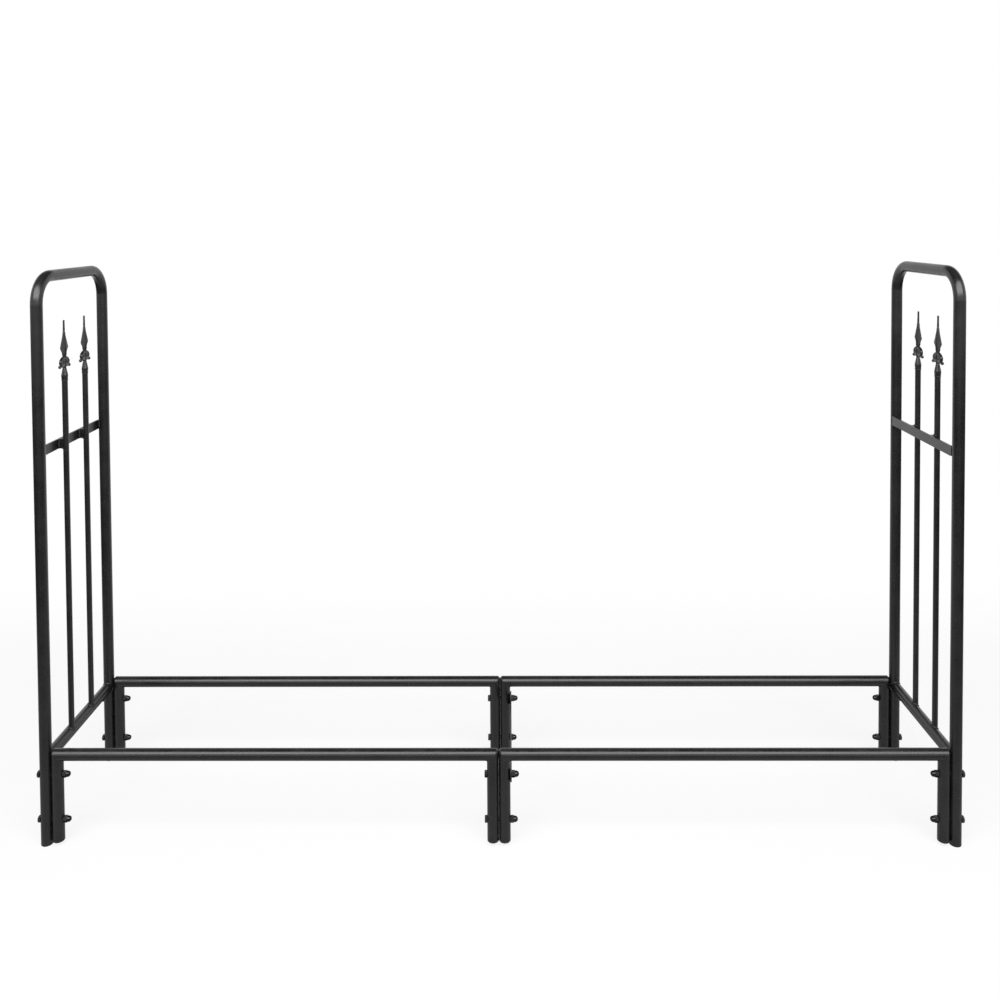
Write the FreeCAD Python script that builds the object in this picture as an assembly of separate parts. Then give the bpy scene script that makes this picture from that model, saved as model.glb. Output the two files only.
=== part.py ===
import FreeCAD, Part
import math
import os

Vector = FreeCAD.Vector
UP = Vector(0, 0, 1)
ALONG = Vector(1, 0, 0)

# Driving dimensions in millimetres. X runs along the rack, Y from front to rear, Z up from the floor.

# Round tube of the hoops, cross tubes and rail frames
TUBE_DIAMETER = 25.4
TUBE_WALL = 1.6

# Whole rack
HOOP_SPACING = 1980.0       # between the planes of the two end hoops
UPRIGHT_SPACING = 325.0     # between the upright axes of one hoop
HOOP_HEIGHT = 1255.0        # floor to the top of a hoop
HOOP_BEND_RADIUS = 60.0     # of the tube axis at a hoop's two corners
RAIL_HEIGHT = 198.0         # floor to the rail axis
LEG_CLEARANCE = 8.0         # floor to the underside of a rail leg, so that the uprights carry the rack
CORNER_BEVEL = 4.5          # of the elbow at a rail's and a leg's outer corner, along each of the two

# Gaps between pieces
SIDE_GAP = 0.1              # between two tubes that are bolted side by side
WELD_GAP = 0.2              # between a cut end and the round tube that it is welded to
HOLE_CLEARANCE = 0.3        # around a bolt in its hole
THREAD_CLEARANCE = 0.1      # around a bolt in its nut
PLUG_CLEARANCE = 0.15       # around a plug in its tube

# Cross members of a hoop
CROSS_TUBE_DROP = 11.0      # from the rail axis down to the cross tube axis
CROSS_BAR_DROP = 145.0      # from the foot of a finial down to the middle of the cross bar
CROSS_BAR_HEIGHT = 22.0
CROSS_BAR_THICKNESS = 4.0
CROSS_BAR_INSET = 5.0       # from an upright axis to the end of the bar
CROSS_BAR_CORNER = 5.0      # radius of the bar's end corners

# Spindles and the lugs that join them to the cross bar
SPINDLE_DIAMETER = 12.7
SPINDLE_SPACING = 102.0
SPINDLE_OFFSET = 5.0        # from the hoop plane to the spindle axis
LUG_WIDTH = 10.0
LUG_HEIGHT = 22.0

# Cast finials, from the collar's foot upwards
FINIAL_HEADROOM = 91.0      # from a finial's tip to the underside of the hoop's top
COLLAR_LIP = 0.3            # how far the collar's foot stands out beyond the spindle
COLLAR_FLARE = 0.8          # how far the collar's shoulder stands out beyond its foot
COLLAR_SHOULDER = 11.0      # from the foot to the shoulder
COLLAR_HEIGHT = 27.0
COLLAR_TOP_DIAMETER = 8.5
STEM_LENGTH = 29.0          # from the collar to the blade
STEM_FOOT_WIDTH = 9.0       # across the corners
STEM_TOP_WIDTH = 9.0        # across the corners
BLADE_LOWER_LENGTH = 18.0   # from the stem to the blade's widest line
BLADE_UPPER_LENGTH = 37.0   # from the widest line to the spike
BLADE_WIDTH = 40.0
BLADE_THICKNESS = 9.0
SPIKE_LENGTH = 26.0
SPIKE_WIDTH = 6.0
SPIKE_THICKNESS = 5.5
TIP_WIDTH = 4.6
SCROLL_OUT = 9.0            # from the stem's axis to a scroll's centre
SCROLL_RISE = 15.0          # from the collar's top to a scroll's centre
SCROLL_RADIUS = 9.0         # of the rim's own middle line
SCROLL_RIM = 7.0            # diameter of the rim
SCROLL_WEB = 4.0            # thickness of the disc inside the rim
SCROLL_EYE_DIAMETER = 6.0
SCROLL_EYE_DEPTH = 1.2
TAIL_DIAMETER = 4.0         # of the rod from a scroll's lowest point to its ball
BALL_DIAMETER = 7.5
BALL_OUT = 13.0             # from a scroll's centre outwards to its ball
BALL_DOWN = 10.0            # from a scroll's centre down to its ball

# Bolted joints of the rail legs
BOLT_DIAMETER = 8.0
BOLT_HEX_MARGIN = 2.5       # from the shank to a flat of the head or nut
BOLT_HEAD_HEIGHT = 5.3
BOLT_END_CHAMFER = 0.8
UPPER_BOLT_DROP = 43.0      # from the rail axis down to the upper bolt
LOWER_BOLT_RISE = 47.0      # from the underside of a leg up to the lower bolt
NUT_ENGAGEMENT = 7.0        # least length of bolt inside a nut
NUT_HEX_HEIGHT = 7.5
NUT_DOME_WALL = 2.2         # between the bore and the outside of the dome
NUT_CAP_WALL = 5.0          # from the end of the bore to the top of the dome
NUT_END_SPACE = 1.0         # from the longest bolt end to the end of the bore
HEX_CHAMFER_ANGLE = 30.0
HEX_CHAMFER_SHARE = 0.95    # flat circle on a hexagon's end, as a share of its width across flats

# Strap between the front and rear inner legs
STRAP_HEIGHT = 25.0
STRAP_THICKNESS = 3.0
STRAP_END = 12.5            # from a bolt's axis to the end of the strap
STRAP_CORNER = 3.0

# Plugs in the feet of the tubes
PLUG_FLANGE = 3.0
PLUG_EDGE = 1.2             # radius of the flange's lower edge
PLUG_INSERT = 18.0
PLUG_WALL = 2.0

# Sizes that follow from the driving dimensions
TUBE_RADIUS = TUBE_DIAMETER / 2
TUBE_BORE = TUBE_DIAMETER - 2 * TUBE_WALL
HOOP_X = HOOP_SPACING / 2
UPRIGHT_Y = UPRIGHT_SPACING / 2
SPINDLE_Y = SPINDLE_SPACING / 2
TUBE_PITCH = TUBE_DIAMETER + SIDE_GAP
OUTER_LEG_X = HOOP_X - TUBE_PITCH
INNER_LEG_X = TUBE_PITCH / 2
ELBOW_SETBACK = CORNER_BEVEL - TUBE_RADIUS * (2 - math.sqrt(2))    # from where the axes of rail and leg meet
CROSS_TUBE_HEIGHT = RAIL_HEIGHT - CROSS_TUBE_DROP
FINIAL_HEIGHT = COLLAR_HEIGHT + STEM_LENGTH + BLADE_LOWER_LENGTH + BLADE_UPPER_LENGTH + SPIKE_LENGTH
FINIAL_FOOT = HOOP_HEIGHT - TUBE_DIAMETER - FINIAL_HEADROOM - FINIAL_HEIGHT
CROSS_BAR_LEVEL = FINIAL_FOOT - CROSS_BAR_DROP
BOLT_LEVELS = (LEG_CLEARANCE + LOWER_BOLT_RISE, RAIL_HEIGHT - UPPER_BOLT_DROP)
BOLT_HOLE = BOLT_DIAMETER + 2 * HOLE_CLEARANCE
BOLT_ACROSS_FLATS = BOLT_DIAMETER + 2 * BOLT_HEX_MARGIN
BOLT_GRIP = TUBE_DIAMETER + TUBE_PITCH
BOLT_LENGTH = BOLT_GRIP + STRAP_THICKNESS + NUT_ENGAGEMENT
NUT_BORE_DEPTH = NUT_ENGAGEMENT + STRAP_THICKNESS + NUT_END_SPACE
NUT_HEIGHT = NUT_BORE_DEPTH + NUT_CAP_WALL
NUT_DOME_RADIUS = BOLT_DIAMETER / 2 + THREAD_CLEARANCE + NUT_DOME_WALL

LENGTH_SIDES = {"left": -1, "right": 1}
DEPTH_SIDES = {"front": -1, "rear": 1}
TOLERANCE = 1e-6            # two lengths or directions closer than this are the same


def rod(start, end, diameter):
    """Solid round bar between two points."""
    run = end - start
    return Part.makeCylinder(diameter / 2, run.Length, start, run)


def tube(start, end):
    """Straight length of the rack's tube between two points."""
    return rod(start, end, TUBE_DIAMETER).cut(rod(start, end, TUBE_BORE))


def swept_rod(path, start, direction, diameter):
    """Round bar that follows a path of tangent lines and arcs."""
    section = Part.Wire(Part.makeCircle(diameter / 2, start, direction))
    return path.makePipeShell([section], True, False)


def half_space(point, normal):
    """Block that fills the side of a plane that its normal points to, far enough for one tube's end."""
    size = 4 * TUBE_DIAMETER
    cutter = Part.makeBox(size, size, size, Vector(-size / 2, -size / 2, 0))
    cutter.Placement = FreeCAD.Placement(point, FreeCAD.Rotation(UP, normal))
    return cutter


def block(low, high):
    """Box between two corners."""
    size = high - low
    return Part.makeBox(size.x, size.y, size.z, low)


def edges_along(shape, direction):
    """Straight edges of a shape that run along a direction."""
    found = []
    for edge in shape.Edges:
        if edge.tangentAt(edge.FirstParameter).cross(direction).Length < TOLERANCE:
            found.append(edge)
    return found


def drill_for_bolts(shape, x, y):
    """Cut the two bolt holes through a vertical tube that stands at x, y."""
    for level in BOLT_LEVELS:
        reach = Vector(TUBE_DIAMETER, 0, 0)
        centre = Vector(x, y, level)
        shape = shape.cut(rod(centre - reach, centre + reach, BOLT_HOLE))
    return shape


def hoop(x):
    """Arch of bent tube, from one foot over the top to the other."""
    top = HOOP_HEIGHT - TUBE_RADIUS
    shoulder = top - HOOP_BEND_RADIUS
    bend_y = UPRIGHT_Y - HOOP_BEND_RADIUS
    diagonal = HOOP_BEND_RADIUS * math.sqrt(0.5)
    front_foot = Vector(x, -UPRIGHT_Y, PLUG_FLANGE)
    front_shoulder = Vector(x, -UPRIGHT_Y, shoulder)
    front_corner = Vector(x, -bend_y - diagonal, shoulder + diagonal)
    front_top = Vector(x, -bend_y, top)
    rear_top = Vector(x, bend_y, top)
    rear_corner = Vector(x, bend_y + diagonal, shoulder + diagonal)
    rear_shoulder = Vector(x, UPRIGHT_Y, shoulder)
    rear_foot = Vector(x, UPRIGHT_Y, PLUG_FLANGE)
    path = Part.Wire([
        Part.LineSegment(front_foot, front_shoulder).toShape(),
        Part.Arc(front_shoulder, front_corner, front_top).toShape(),
        Part.LineSegment(front_top, rear_top).toShape(),
        Part.Arc(rear_top, rear_corner, rear_shoulder).toShape(),
        Part.LineSegment(rear_shoulder, rear_foot).toShape(),
    ])
    outside = swept_rod(path, front_foot, UP, TUBE_DIAMETER)
    bore = swept_rod(path, front_foot, UP, TUBE_BORE)
    arch = outside.cut(bore)
    for side in DEPTH_SIDES.values():
        arch = drill_for_bolts(arch, x, side * UPRIGHT_Y)
    return arch


def coped(shape, x, level):
    """Cut both ends of a hoop's cross member to fit round the uprights."""
    reach = UP * (TUBE_DIAMETER + CROSS_BAR_HEIGHT)
    for y in (-UPRIGHT_Y, UPRIGHT_Y):
        middle = Vector(x, y, level)
        shape = shape.cut(rod(middle - reach, middle + reach, TUBE_DIAMETER + 2 * WELD_GAP))
    return shape


def cross_tube(x):
    """Lower tube of a hoop, coped to fit round both uprights."""
    front = Vector(x, -UPRIGHT_Y, CROSS_TUBE_HEIGHT)
    rear = Vector(x, UPRIGHT_Y, CROSS_TUBE_HEIGHT)
    return coped(tube(front, rear), x, CROSS_TUBE_HEIGHT)


def cross_bar_face(x):
    """X of the upper cross bar's face towards the spindles; its other face is flush with the uprights."""
    return x - TUBE_RADIUS + CROSS_BAR_THICKNESS


def cross_bar(x):
    """Flat bar between the left flanks of both uprights, with rounded and coped ends."""
    face = cross_bar_face(x)
    half_length = UPRIGHT_Y - CROSS_BAR_INSET
    low = Vector(face - CROSS_BAR_THICKNESS, -half_length, CROSS_BAR_LEVEL - CROSS_BAR_HEIGHT / 2)
    high = Vector(face, half_length, CROSS_BAR_LEVEL + CROSS_BAR_HEIGHT / 2)
    bar = block(low, high)
    bar = bar.makeFillet(CROSS_BAR_CORNER, edges_along(bar, ALONG))
    return coped(bar, x, CROSS_BAR_LEVEL)


def spacer_lug(x, y):
    """Block between the cross bar and one spindle, hollowed to fit round the spindle."""
    axis = Vector(x + SPINDLE_OFFSET, y, CROSS_BAR_LEVEL)
    low = Vector(cross_bar_face(x), y - LUG_WIDTH / 2, CROSS_BAR_LEVEL - LUG_HEIGHT / 2)
    high = Vector(axis.x, y + LUG_WIDTH / 2, CROSS_BAR_LEVEL + LUG_HEIGHT / 2)
    reach = UP * LUG_HEIGHT
    return block(low, high).cut(rod(axis - reach, axis + reach, SPINDLE_DIAMETER + 2 * WELD_GAP))


def spindle(x, y):
    """Round bar from the lower cross tube up to its finial's foot."""
    axis = Vector(x + SPINDLE_OFFSET, y, 0)
    bar = rod(axis + UP * CROSS_TUBE_HEIGHT, axis + UP * FINIAL_FOOT, SPINDLE_DIAMETER)
    seat_front = Vector(x, y - SPINDLE_DIAMETER, CROSS_TUBE_HEIGHT)
    seat_rear = Vector(x, y + SPINDLE_DIAMETER, CROSS_TUBE_HEIGHT)
    return bar.cut(rod(seat_front, seat_rear, TUBE_DIAMETER + 2 * WELD_GAP))


def diamond_outline(thickness, width, height):
    """Diamond wire around the Z axis, thickness across X and width across Y."""
    corners = [Vector(thickness / 2, 0, height), Vector(0, width / 2, height),
               Vector(-thickness / 2, 0, height), Vector(0, -width / 2, height)]
    return Part.makePolygon(corners + corners[:1])


def finial_scroll(side):
    """Rim round a disc with a sunk eye on each face, and a tail that ends in a ball."""
    centre = Vector(0, side * SCROLL_OUT, COLLAR_HEIGHT + SCROLL_RISE)
    ball_centre = centre + Vector(0, side * BALL_OUT, -BALL_DOWN)
    half_web = ALONG * (SCROLL_WEB / 2)
    half_left = ALONG * (SCROLL_WEB / 2 - SCROLL_EYE_DEPTH)
    disc = rod(centre - half_web, centre + half_web, 2 * SCROLL_RADIUS)
    for face in (-1, 1):
        disc = disc.cut(rod(centre + half_left * face, centre + half_web * face, SCROLL_EYE_DIAMETER))
    scroll = Part.makeTorus(SCROLL_RADIUS, SCROLL_RIM / 2, centre, ALONG).fuse(disc)
    scroll = scroll.fuse(rod(centre - UP * SCROLL_RADIUS, ball_centre, TAIL_DIAMETER))
    return scroll.fuse(Part.makeSphere(BALL_DIAMETER / 2, ball_centre))


def finial(x, y):
    """Cast spear point: a collar on the spindle's end, a stem with two scrolls, and a diamond blade."""
    foot_radius = SPINDLE_DIAMETER / 2 + COLLAR_LIP
    shoulder_radius = foot_radius + COLLAR_FLARE
    blade_foot = COLLAR_HEIGHT + STEM_LENGTH
    blade_middle = blade_foot + BLADE_LOWER_LENGTH
    spike_foot = blade_middle + BLADE_UPPER_LENGTH
    collar = Part.makeCone(foot_radius, shoulder_radius, COLLAR_SHOULDER)
    neck = Part.makeCone(shoulder_radius, COLLAR_TOP_DIAMETER / 2, COLLAR_HEIGHT - COLLAR_SHOULDER,
                         UP * COLLAR_SHOULDER)
    body = Part.makeLoft([
        diamond_outline(STEM_FOOT_WIDTH, STEM_FOOT_WIDTH, COLLAR_SHOULDER),
        diamond_outline(STEM_TOP_WIDTH, STEM_TOP_WIDTH, blade_foot),
        diamond_outline(BLADE_THICKNESS, BLADE_WIDTH, blade_middle),
        diamond_outline(SPIKE_THICKNESS, SPIKE_WIDTH, spike_foot),
        diamond_outline(TIP_WIDTH, TIP_WIDTH, FINIAL_HEIGHT),
    ], True, True)
    shape = collar.fuse(neck).fuse(body)
    for side in DEPTH_SIDES.values():
        shape = shape.fuse(finial_scroll(side))
    shape = shape.removeSplitter()
    shape.translate(Vector(x + SPINDLE_OFFSET, y, FINIAL_FOOT))
    return shape


def end_plug(x, y, underside):
    """Plug in a tube's foot: a flange under the tube's end and a hollow insert in its bore."""
    foot = Vector(x, y, underside)
    seat = foot + UP * PLUG_FLANGE
    insert_diameter = TUBE_BORE - 2 * PLUG_CLEARANCE
    flange = rod(foot, seat, TUBE_DIAMETER)
    lower_edge = [edge for edge in flange.Edges if abs(edge.BoundBox.ZMax - underside) < TOLERANCE]
    flange = flange.makeFillet(PLUG_EDGE, lower_edge)
    insert_end = seat + UP * PLUG_INSERT
    hollow = rod(seat, insert_end, insert_diameter - 2 * PLUG_WALL)
    insert = rod(seat, insert_end, insert_diameter).cut(hollow)
    return flange.fuse(insert)


def rail_frame(length_side, depth_side):
    """Rail and its outer and inner leg, mitred to each other and to the elbows that bevel both corners."""
    y = depth_side * UPRIGHT_Y
    inward = ALONG * -length_side
    outer_corner = Vector(length_side * OUTER_LEG_X, y, RAIL_HEIGHT)
    inner_corner = Vector(length_side * INNER_LEG_X, y, RAIL_HEIGHT)
    rail = tube(outer_corner - inward * TUBE_RADIUS, inner_corner + inward * TUBE_RADIUS)
    pieces = {}
    for name, corner, to_rail in (("outer", outer_corner, inward), ("inner", inner_corner, inward * -1)):
        slant = (to_rail + UP) * math.sqrt(0.5)
        rail_way = to_rail + slant
        leg_way = UP * -1 - slant
        meeting = corner + (to_rail - UP) * ELBOW_SETBACK * (1 + math.sqrt(0.5))
        rail = rail.cut(half_space(corner, slant * -1)).cut(half_space(meeting, rail_way * -1))
        foot = Vector(corner.x, y, LEG_CLEARANCE + PLUG_FLANGE)
        leg = tube(foot, corner + UP * TUBE_RADIUS)
        leg = leg.cut(half_space(corner, slant)).cut(half_space(meeting, leg_way * -1))
        low_end = corner - UP * ELBOW_SETBACK - slant * TUBE_DIAMETER
        high_end = corner + to_rail * ELBOW_SETBACK + slant * TUBE_DIAMETER
        elbow = tube(low_end, high_end)
        elbow = elbow.cut(half_space(meeting, rail_way)).cut(half_space(meeting, leg_way))
        pieces[name + "_leg"] = drill_for_bolts(leg, corner.x, y)
        pieces[name + "_elbow"] = elbow
        pieces[name + "_leg_plug"] = end_plug(corner.x, y, LEG_CLEARANCE)
    pieces["rail"] = rail
    return pieces


def hexagon(across_flats, height):
    """Hexagonal prism on the X axis, from zero to its height."""
    radius = across_flats / math.sqrt(3)
    corners = []
    for step in range(6):
        angle = math.radians(60 * step)
        corners.append(Vector(0, radius * math.cos(angle), radius * math.sin(angle)))
    return Part.Face(Part.makePolygon(corners + corners[:1])).extrude(ALONG * height)


def chamfered_hexagon(across_flats, height):
    """Hexagonal prism on the X axis with its corners turned off at the far end."""
    top_radius = HEX_CHAMFER_SHARE * across_flats / 2
    foot_radius = top_radius + height / math.tan(math.radians(HEX_CHAMFER_ANGLE))
    turned_cone = Part.makeCone(foot_radius, top_radius, height, Vector(), ALONG)
    return hexagon(across_flats, height).common(turned_cone)


def bolt():
    """Hexagon bolt on the X axis: its head seats at zero, its shank points along X."""
    head = chamfered_hexagon(BOLT_ACROSS_FLATS, BOLT_HEAD_HEIGHT)
    head.rotate(Vector(), UP, 180)
    shank = rod(Vector(), ALONG * (BOLT_LENGTH - BOLT_END_CHAMFER), BOLT_DIAMETER)
    end = Part.makeCone(BOLT_DIAMETER / 2, BOLT_DIAMETER / 2 - BOLT_END_CHAMFER, BOLT_END_CHAMFER,
                        ALONG * (BOLT_LENGTH - BOLT_END_CHAMFER), ALONG)
    return head.fuse(shank).fuse(end).removeSplitter()


def cap_nut():
    """Domed cap nut on the X axis: it seats at zero and its dome points along X."""
    dome_centre = ALONG * (NUT_HEIGHT - NUT_DOME_RADIUS)
    nut = chamfered_hexagon(BOLT_ACROSS_FLATS, NUT_HEX_HEIGHT)
    nut = nut.fuse(rod(Vector(), dome_centre, 2 * NUT_DOME_RADIUS))
    nut = nut.fuse(Part.makeSphere(NUT_DOME_RADIUS, dome_centre)).removeSplitter()
    return nut.cut(rod(Vector(), ALONG * NUT_BORE_DEPTH, BOLT_DIAMETER + 2 * THREAD_CLEARANCE))


def bolted_joints():
    """Seat and direction of every bolt, at both levels of the six joints."""
    seats = []
    for y in (-UPRIGHT_Y, UPRIGHT_Y):
        for level in BOLT_LEVELS:
            seats.append((Vector(-INNER_LEG_X - TUBE_RADIUS, y, level), 1))
            seats.append((Vector(-HOOP_X - TUBE_RADIUS, y, level), 1))
            seats.append((Vector(HOOP_X + TUBE_RADIUS, y, level), -1))
    return seats


def strap_under(seat):
    """Thickness of the strap that a bolt clamps under its nut."""
    at_middle = abs(seat.x) < HOOP_X / 2
    at_strap_level = seat.z == max(BOLT_LEVELS)
    return STRAP_THICKNESS if at_middle and at_strap_level else 0.0


def placed(shape, seat, direction):
    """Copy of a piece that was made on the X axis, moved to its seat and turned to its direction."""
    copy = shape.copy()
    if direction < 0:
        copy.rotate(Vector(), UP, 180)
    copy.translate(seat)
    return copy


def tie_strap():
    """Flat bar across the right side of the right-hand inner legs, drilled for the two upper bolts."""
    face = INNER_LEG_X + TUBE_RADIUS
    level = max(BOLT_LEVELS)
    half_length = UPRIGHT_Y + STRAP_END
    low = Vector(face, -half_length, level - STRAP_HEIGHT / 2)
    high = Vector(face + STRAP_THICKNESS, half_length, level + STRAP_HEIGHT / 2)
    strap = block(low, high)
    strap = strap.makeFillet(STRAP_CORNER, edges_along(strap, ALONG))
    for y in (-UPRIGHT_Y, UPRIGHT_Y):
        centre = Vector(face, y, level)
        reach = ALONG * 2 * STRAP_THICKNESS
        strap = strap.cut(rod(centre - reach, centre + reach, BOLT_HOLE))
    return strap


def save(name, shape):
    """Write one node of the rack."""
    shape.exportStep(os.path.join("parts", name + ".step"))


def save_hoops():
    """Both end hoops with their cross members, spindles, finials and plugs."""
    for length_name, length_side in LENGTH_SIDES.items():
        x = length_side * HOOP_X
        save(length_name + "_hoop", hoop(x))
        save(length_name + "_lower_cross_tube", cross_tube(x))
        save(length_name + "_upper_cross_bar", cross_bar(x))
        for depth_name, depth_side in DEPTH_SIDES.items():
            prefix = length_name + "_" + depth_name + "_"
            save(prefix + "spindle", spindle(x, depth_side * SPINDLE_Y))
            save(prefix + "spacer_lug", spacer_lug(x, depth_side * SPINDLE_Y))
            save(prefix + "finial", finial(x, depth_side * SPINDLE_Y))
            save(prefix + "upright_plug", end_plug(x, depth_side * UPRIGHT_Y, 0))


def save_rail_frames():
    """Four rail frames."""
    for depth_name, depth_side in DEPTH_SIDES.items():
        for length_name, length_side in LENGTH_SIDES.items():
            for piece_name, shape in rail_frame(length_side, depth_side).items():
                save(depth_name + "_" + length_name + "_" + piece_name, shape)


def save_fasteners():
    """Strap, bolts and cap nuts."""
    save("centre_tie_strap", tie_strap())
    bolts = []
    nuts = []
    for seat, direction in bolted_joints():
        bolts.append(placed(bolt(), seat, direction))
        nut_seat = seat + ALONG * direction * (BOLT_GRIP + strap_under(seat))
        nuts.append(placed(cap_nut(), nut_seat, direction))
    save("leg_bolts", Part.makeCompound(bolts))
    save("cap_nuts", Part.makeCompound(nuts))


os.makedirs("parts", exist_ok=True)
save_hoops()
save_rail_frames()
save_fasteners()
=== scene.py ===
"""Looks of the firewood rack: powder coat, cast finials, black fasteners, plastic plugs and weld beads."""
import math

import bmesh
import bpy
import numpy as np
from mathutils import Matrix, Vector
from mathutils.noise import noise as noise_at


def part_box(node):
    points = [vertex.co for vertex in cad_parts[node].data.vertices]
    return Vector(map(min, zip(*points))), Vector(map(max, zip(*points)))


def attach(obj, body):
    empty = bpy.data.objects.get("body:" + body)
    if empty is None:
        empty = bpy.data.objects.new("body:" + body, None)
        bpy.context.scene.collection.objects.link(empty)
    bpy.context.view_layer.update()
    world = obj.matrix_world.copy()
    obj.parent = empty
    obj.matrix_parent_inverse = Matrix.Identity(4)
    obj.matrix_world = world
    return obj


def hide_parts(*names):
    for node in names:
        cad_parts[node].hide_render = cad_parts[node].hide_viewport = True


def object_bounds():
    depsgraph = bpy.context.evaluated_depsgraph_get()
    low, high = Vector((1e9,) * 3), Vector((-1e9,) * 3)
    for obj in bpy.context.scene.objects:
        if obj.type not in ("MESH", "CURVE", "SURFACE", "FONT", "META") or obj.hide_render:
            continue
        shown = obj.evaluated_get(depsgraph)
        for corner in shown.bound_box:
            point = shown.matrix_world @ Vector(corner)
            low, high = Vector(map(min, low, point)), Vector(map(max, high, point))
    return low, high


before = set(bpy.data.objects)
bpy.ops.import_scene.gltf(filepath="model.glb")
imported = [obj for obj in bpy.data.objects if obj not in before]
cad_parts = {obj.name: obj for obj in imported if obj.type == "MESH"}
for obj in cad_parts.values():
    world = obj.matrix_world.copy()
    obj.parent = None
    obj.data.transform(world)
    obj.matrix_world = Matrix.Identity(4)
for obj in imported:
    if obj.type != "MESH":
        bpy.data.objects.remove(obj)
cad_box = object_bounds()

MILLIMETRE = 0.001

# Camera, where the photograph was taken from
CAMERA_PLACE = Vector((0.0298, -2.1704, 1.3557))
CAMERA_YAW = -0.0100        # radians from straight ahead, to the right
CAMERA_PITCH = 0.03         # radians, downwards
CAMERA_ROLL = -0.006        # radians
SENSOR_WIDTH = 36.0         # millimetres
FOCAL_SHARE = 0.9387        # focal length as a share of the sensor's width
FRAME_SHIFT = -0.25         # the frame hangs below the camera's axis

# Studio
STUDIO_RADIUS = 9.0         # of the floor's round wall
STUDIO_SWEEP = 2.5          # radius between floor and wall
STUDIO_WALL = 7.0           # height of the wall
STUDIO_STEPS = 128
SWEEP_STEPS = 16
FLOOR_TONE = 0.92
FLOOR_UNEVEN = 0.01         # how far that tone strays to either side
FLOOR_CLOUD = 0.35          # size of the clouds in it
SHADE_SHARE = 0.15          # how much of the floor's own shading shows right under the rack
SHADE_REACH = (0.2, 1.2)    # distance from the rack over which that shading turns into an even white
NEAR_MIRRORED = 0.5         # level at which gloss shows the floor right beside the rack
FRONT_MIRRORED = 0.2        # the same for the floor further in front
REAR_MIRRORED = 0.9         # the same for the floor further to the rear
SIDE_MIRRORED = 0.07        # the same for the floor to the left and right
WALL_MIRRORED = 0.95        # the same for the wall
NEAR_REACH = (0.0, 1.2)     # distance from the rack over which the near floor's level turns into the others
WALL_RISE = (0.05, 1.0)     # heights between which the floor's level turns into the wall's
SIDE_REACH = (0.2, 1.6)     # distance beside the bright ground's edge over which it turns dark
SIDE_SPREAD = 0.6           # how far that edge moves out for each metre to the rear
SOFTBOX_PLACE = Vector((0.0, -1.8, 2.5))
SOFTBOX_AIM = Vector((0.0, 0.0, 0.1))
SOFTBOX_WIDTH = 5.0
SOFTBOX_HEIGHT = 1.7
SOFTBOX_POWER = 150.0
ROOM_TONE = 0.08

# Weld beads
BEAD_RADIUS = 2.3 * MILLIMETRE      # of a fillet between two pieces
SEAM_RADIUS = 1.0 * MILLIMETRE      # of a low bead that was ground down
SEAM_SINK = 0.7                     # share of its radius that a ground bead lies below the surface
CROTCH_RADIUS = 1.6 * MILLIMETRE    # what a seam gains in the inner corner of a mitre
CROTCH_SPREAD = 70.0                # degrees round the tube that such a seam runs to either side
CROTCH_POWER = 4                    # how fast that gain falls off to the sides
RIPPLE_PITCH = 2.4 * MILLIMETRE
RIPPLE_DEPTH = 0.16                 # share of a bead's radius
RIPPLE_LAG = 0.55                   # how far a ripple's sides trail behind its crest, in radii
BEAD_UNEVEN = 0.12                  # slow change of a bead's radius
UNEVEN_PITCH = 4 * RIPPLE_PITCH     # length of that change
BEAD_END = 0.5                      # share of the radius that is left at a bead's end
STEPS_PER_RIPPLE = 6
BEAD_SIDES = 12
LINE_STEPS = 240                    # for measuring a weld's line
COPE_START = 10.0                   # degrees from the side of a cross tube to where its weld starts
COPE_THIN = 0.55                    # share of the radius at that start

# Finial castings, measured from the foot of a finial
SCROLL_OUT = 9.0 * MILLIMETRE       # from the stem's axis to a scroll's centre
SCROLL_HEIGHT = 42.0 * MILLIMETRE
SCROLL_FACE = 2.2 * MILLIMETRE      # from the finial's middle plane to the wound band
SCROLL_REACH = (7.8 * MILLIMETRE, 1.6 * MILLIMETRE)     # from that centre to the band's outer and inner end
SCROLL_BAND = (1.8 * MILLIMETRE, 1.2 * MILLIMETRE)      # radius of the band at those ends
SCROLL_TURNS = 1.4
SCROLL_EYE = 2.1 * MILLIMETRE       # radius of the ball in the middle
BLADE_HEIGHTS = (55.0 * MILLIMETRE, 74.0 * MILLIMETRE, 111.0 * MILLIMETRE)  # foot, widest line and top
BLADE_RIB = (3.7 * MILLIMETRE, 4.4 * MILLIMETRE, 1.4 * MILLIMETRE)          # reach of its rib there
BLADE_EDGE = (3.8 * MILLIMETRE, 18.4 * MILLIMETRE, 2.3 * MILLIMETRE)        # reach of its blunt edges there
RIB_RADIUS = 1.6 * MILLIMETRE
EDGE_RADIUS = 0.9 * MILLIMETRE
SCROLL_TOP = BLADE_HEIGHTS[0]       # the scrolls end where the blade starts
SCROLL_DRAW = 0.45                  # share by which the scrolls are drawn in to the stem at their tops
CASTING_VOXEL = 0.6 * MILLIMETRE
CASTING_SOFTENING = 4               # rounds of smoothing
SKIN_DEPTH = 0.05 * MILLIMETRE      # height of the sandy skin
SKIN_GRAIN = 2.2 * MILLIMETRE
PARTING_WIDTH = 0.45 * MILLIMETRE   # of the parting line, to either side of the middle plane
PARTING_HEIGHT = 0.18 * MILLIMETRE
PARTING_FACING = 0.5                # faces that look along the rack by more than this have no parting line

LENGTH_NAMES = ("left", "right")
DEPTH_NAMES = ("front", "rear")

# Places in a Mix node that works on colours
MIX_FACTOR = 0
MIX_FIRST = 6
MIX_SECOND = 7
MIX_RESULT = 2


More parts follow.
